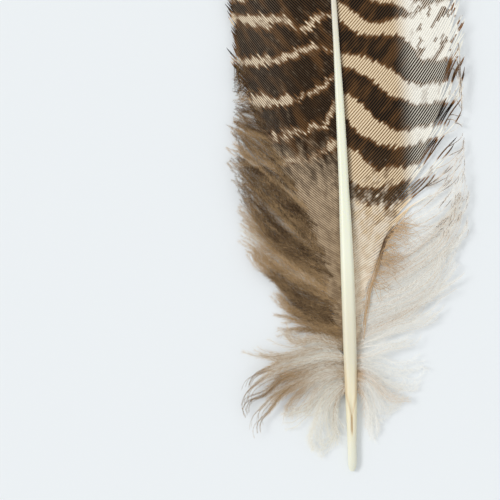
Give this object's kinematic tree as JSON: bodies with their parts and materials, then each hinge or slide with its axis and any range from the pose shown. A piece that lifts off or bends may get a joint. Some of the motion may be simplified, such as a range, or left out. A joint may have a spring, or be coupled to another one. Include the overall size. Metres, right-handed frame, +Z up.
{
  "type": "peacock quill",
  "caption": "Barred brown and cream wing feather of a peafowl, with an ivory quill, two firm vanes parted at their edges and loose down at the base",
  "frame": {"origin": "on the flat face the feather rests on, halfway along its length, under the vane beside the shaft", "axes": "+Y runs along the shaft from the bare quill tip to the vane's tip, +X towards the wider vane, +Z up out of the underside that shows"},
  "size_m": [0.0617, 0.2303, 0.0061],
  "materials": {
    "vane": "satin barbs, dark brown with cream bars",
    "shaft": "smooth ivory horn, slightly waxy and translucent",
    "down": "soft matt down, tan fading to near white"
  },
  "bodies": {
    "root": {"feather": "vane"}
  },
  "joints": []
}
